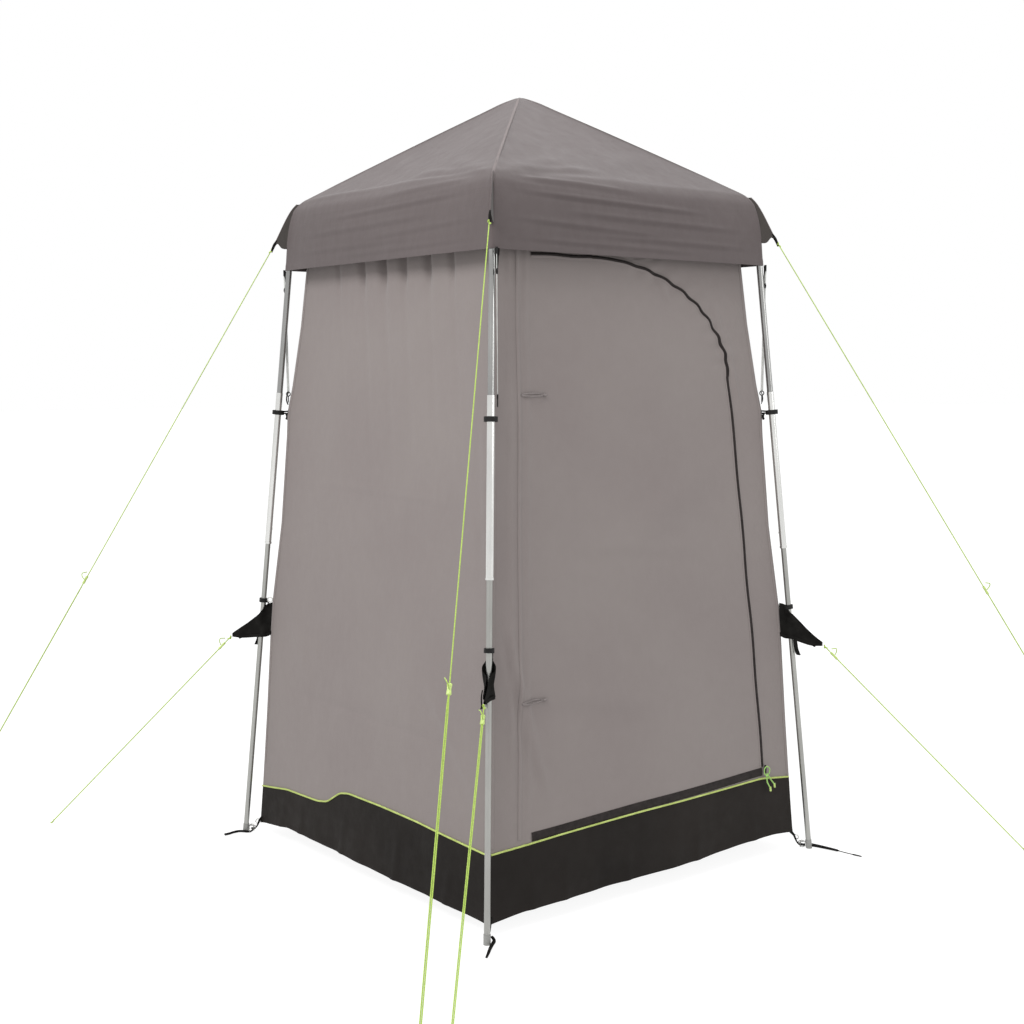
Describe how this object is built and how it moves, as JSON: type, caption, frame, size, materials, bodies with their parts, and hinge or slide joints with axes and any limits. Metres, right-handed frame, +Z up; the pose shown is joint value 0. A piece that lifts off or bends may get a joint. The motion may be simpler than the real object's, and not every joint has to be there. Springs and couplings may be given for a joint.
{
  "type": "privacy shower tent",
  "caption": "Free-standing privacy cabin: folding hub frame, splayed telescopic legs, pyramid canopy, zipped fabric cabin with a dark skirt, and guylines.",
  "frame": {"origin": "on the ground at the middle of the four feet", "axes": "+Z up; the door wall faces -Y and the plain wall beside it faces -X"},
  "size_m": [2.6421, 2.6262, 2.2499],
  "materials": {
    "canopy_fabric": "matt taupe-grey polyester",
    "wall_fabric": "matt light grey polyester",
    "tube": "drawn, satin",
    "plastic": "moulded, black",
    "steel": "plated wire",
    "webbing": "woven black webbing",
    "zip": "coil zip and tape, dark grey",
    "cord": "braided lime cord",
    "cord_slider": "moulded lime plastic"
  },
  "bodies": {
    "hub": {"roof_hub": "plastic", "hub_crown": "plastic", "hub_pins": "steel"},
    "arm_right": {"roof_arm_right": "tube"},
    "leg_right": {"knuckle_right": "plastic", "upper_leg_right": "tube", "leg_sleeve_right": "tube", "corner_webbing_right": "webbing", "corner_clips_right": "plastic", "wall_right": "wall_fabric", "upper_guy_right": "cord", "lower_guy_right": "cord", "guy_sliders_right": "cord_slider"},
    "lower_leg_right": {"lower_leg_right": "tube", "foot_right": "plastic"},
    "button_right": {"lock_button_right": "steel"},
    "arm_rear": {"roof_arm_rear": "tube"},
    "leg_rear": {"knuckle_rear": "plastic", "upper_leg_rear": "tube", "leg_sleeve_rear": "tube", "corner_webbing_rear": "webbing", "corner_clips_rear": "plastic", "wall_back": "wall_fabric"},
    "lower_leg_rear": {"lower_leg_rear": "tube", "foot_rear": "plastic"},
    "button_rear": {"lock_button_rear": "steel"},
    "arm_left": {"roof_arm_left": "tube"},
    "leg_left": {"knuckle_left": "plastic", "upper_leg_left": "tube", "leg_sleeve_left": "tube", "corner_webbing_left": "webbing", "corner_clips_left": "plastic", "wall_left": "wall_fabric", "upper_guy_left": "cord", "lower_guy_left": "cord", "guy_sliders_left": "cord_slider"},
    "lower_leg_left": {"lower_leg_left": "tube", "foot_left": "plastic"},
    "button_left": {"lock_button_left": "steel"},
    "arm_front": {"roof_arm_front": "tube"},
    "leg_front": {"knuckle_front": "plastic", "upper_leg_front": "tube", "leg_sleeve_front": "tube", "corner_webbing_front": "webbing", "corner_clips_front": "plastic", "wall_front": "wall_fabric", "door_zip": "zip", "upper_guy_front": "cord", "lower_guy_front": "cord", "guy_sliders_front": "cord_slider"},
    "lower_leg_front": {"lower_leg_front": "tube", "foot_front": "plastic"},
    "button_front": {"lock_button_front": "steel"},
    "canopy_front": {"canopy_front": "canopy_fabric"},
    "canopy_right": {"canopy_right": "canopy_fabric"},
    "canopy_back": {"canopy_back": "canopy_fabric"},
    "canopy_left": {"canopy_left": "canopy_fabric"},
    "door": {"door_panel": "wall_fabric", "door_toggles": "webbing"},
    "zip_slider": {"zip_slider": "zip"}
  },
  "joints": [
    {"name": "frame_fold", "type": "hinge", "parent": "hub", "child": "arm_front", "pos_m": [-0.02828, -0.02828, 2.214], "axis": [-0.7071, 0.7071, 0], "range_deg": [0, 111.2], "deforming": ["canopy_front", "canopy_right", "canopy_back", "canopy_left", "wall_front", "wall_right", "wall_back", "wall_left", "door_panel", "door_zip", "door_toggles"]},
    {"name": "arm_fold_right", "type": "hinge", "parent": "hub", "child": "arm_right", "pos_m": [0.02828, -0.02828, 2.214], "axis": [-0.7071, -0.7071, 0], "range_deg": [0, 111.2]},
    {"name": "arm_fold_rear", "type": "hinge", "parent": "hub", "child": "arm_rear", "pos_m": [0.02828, 0.02828, 2.214], "axis": [0.7071, -0.7071, 0], "range_deg": [0, 111.2]},
    {"name": "arm_fold_left", "type": "hinge", "parent": "hub", "child": "arm_left", "pos_m": [-0.02828, 0.02828, 2.214], "axis": [0.7071, 0.7071, 0], "range_deg": [0, 111.2]},
    {"name": "leg_fold_front", "type": "hinge", "parent": "arm_front", "child": "leg_front", "pos_m": [-0.47235, -0.47235, 1.905], "axis": [-0.7071, 0.7071, 0], "range_deg": [-117.21, 0.5]},
    {"name": "leg_fold_right", "type": "hinge", "parent": "arm_right", "child": "leg_right", "pos_m": [0.47235, -0.47235, 1.905], "axis": [-0.7071, -0.7071, 0], "range_deg": [-117.21, 0.5]},
    {"name": "leg_fold_rear", "type": "hinge", "parent": "arm_rear", "child": "leg_rear", "pos_m": [0.47235, 0.47235, 1.905], "axis": [0.7071, -0.7071, 0], "range_deg": [-117.21, 0.5]},
    {"name": "leg_fold_left", "type": "hinge", "parent": "arm_left", "child": "leg_left", "pos_m": [-0.47235, 0.47235, 1.905], "axis": [0.7071, 0.7071, 0], "range_deg": [-117.21, 0.5]},
    {"name": "canopy_fold_front", "type": "hinge", "parent": "hub", "child": "canopy_front", "pos_m": [0, 0, 2.248], "axis": [-1, 0, 0], "range_deg": [-0.5, 117.42]},
    {"name": "canopy_fold_right", "type": "hinge", "parent": "hub", "child": "canopy_right", "pos_m": [0, 0, 2.248], "axis": [0, -1, 0], "range_deg": [-0.5, 117.42]},
    {"name": "canopy_fold_back", "type": "hinge", "parent": "hub", "child": "canopy_back", "pos_m": [0, 0, 2.248], "axis": [1, 0, 0], "range_deg": [-0.5, 117.42]},
    {"name": "canopy_fold_left", "type": "hinge", "parent": "hub", "child": "canopy_left", "pos_m": [0, 0, 2.248], "axis": [0, 1, 0], "range_deg": [-0.5, 117.42]},
    {"name": "leg_slide_front", "type": "slide", "parent": "leg_front", "child": "lower_leg_front", "axis": [0.0679, 0.0679, 0.9954], "range_m": [0, 0.65], "deforming": ["lock_button_front"]},
    {"name": "leg_slide_right", "type": "slide", "parent": "leg_right", "child": "lower_leg_right", "axis": [-0.0679, 0.0679, 0.9954], "range_m": [0, 0.65], "deforming": ["lock_button_right"]},
    {"name": "leg_slide_rear", "type": "slide", "parent": "leg_rear", "child": "lower_leg_rear", "axis": [-0.0679, -0.0679, 0.9954], "range_m": [0, 0.65], "deforming": ["lock_button_rear"]},
    {"name": "leg_slide_left", "type": "slide", "parent": "leg_left", "child": "lower_leg_left", "axis": [0.0679, -0.0679, 0.9954], "range_m": [0, 0.65], "deforming": ["lock_button_left"]},
    {"name": "button_press_front", "type": "slide", "parent": "lower_leg_front", "child": "button_front", "axis": [-0.7038, -0.7038, 0.096], "range_m": [0, 0.004], "stiffness_N_per_m": 500, "springref_m": -0.004},
    {"name": "button_press_right", "type": "slide", "parent": "lower_leg_right", "child": "button_right", "axis": [0.7038, -0.7038, 0.096], "range_m": [0, 0.004], "stiffness_N_per_m": 500, "springref_m": -0.004},
    {"name": "button_press_rear", "type": "slide", "parent": "lower_leg_rear", "child": "button_rear", "axis": [0.7038, 0.7038, 0.096], "range_m": [0, 0.004], "stiffness_N_per_m": 500, "springref_m": -0.004},
    {"name": "button_press_left", "type": "slide", "parent": "lower_leg_left", "child": "button_left", "axis": [-0.7038, 0.7038, 0.096], "range_m": [0, 0.004], "stiffness_N_per_m": 500, "springref_m": -0.004},
    {"name": "door_swing", "type": "hinge", "parent": "leg_front", "child": "door", "pos_m": [-0.4416, -0.57739, 0.24], "axis": [-0.0634, -0.0744, -0.9952], "range_deg": [0, 110]},
    {"name": "zip_run", "type": "slide", "parent": "leg_front", "child": "zip_slider", "axis": [-0.0671, 0.0744, 0.995], "range_m": [0, 1]}
  ],
  "couplings": [
    {"joint": "arm_fold_right", "follows": "frame_fold", "ratio": 1},
    {"joint": "arm_fold_rear", "follows": "frame_fold", "ratio": 1},
    {"joint": "arm_fold_left", "follows": "frame_fold", "ratio": 1},
    {"joint": "leg_fold_front", "follows": "frame_fold", "ratio": -1.0496},
    {"joint": "leg_fold_right", "follows": "frame_fold", "ratio": -1.0496},
    {"joint": "leg_fold_rear", "follows": "frame_fold", "ratio": -1.0496},
    {"joint": "leg_fold_left", "follows": "frame_fold", "ratio": -1.0496},
    {"joint": "canopy_fold_front", "follows": "frame_fold", "ratio": 1.0514},
    {"joint": "canopy_fold_right", "follows": "frame_fold", "ratio": 1.0514},
    {"joint": "canopy_fold_back", "follows": "frame_fold", "ratio": 1.0514},
    {"joint": "canopy_fold_left", "follows": "frame_fold", "ratio": 1.0514}
  ]
}
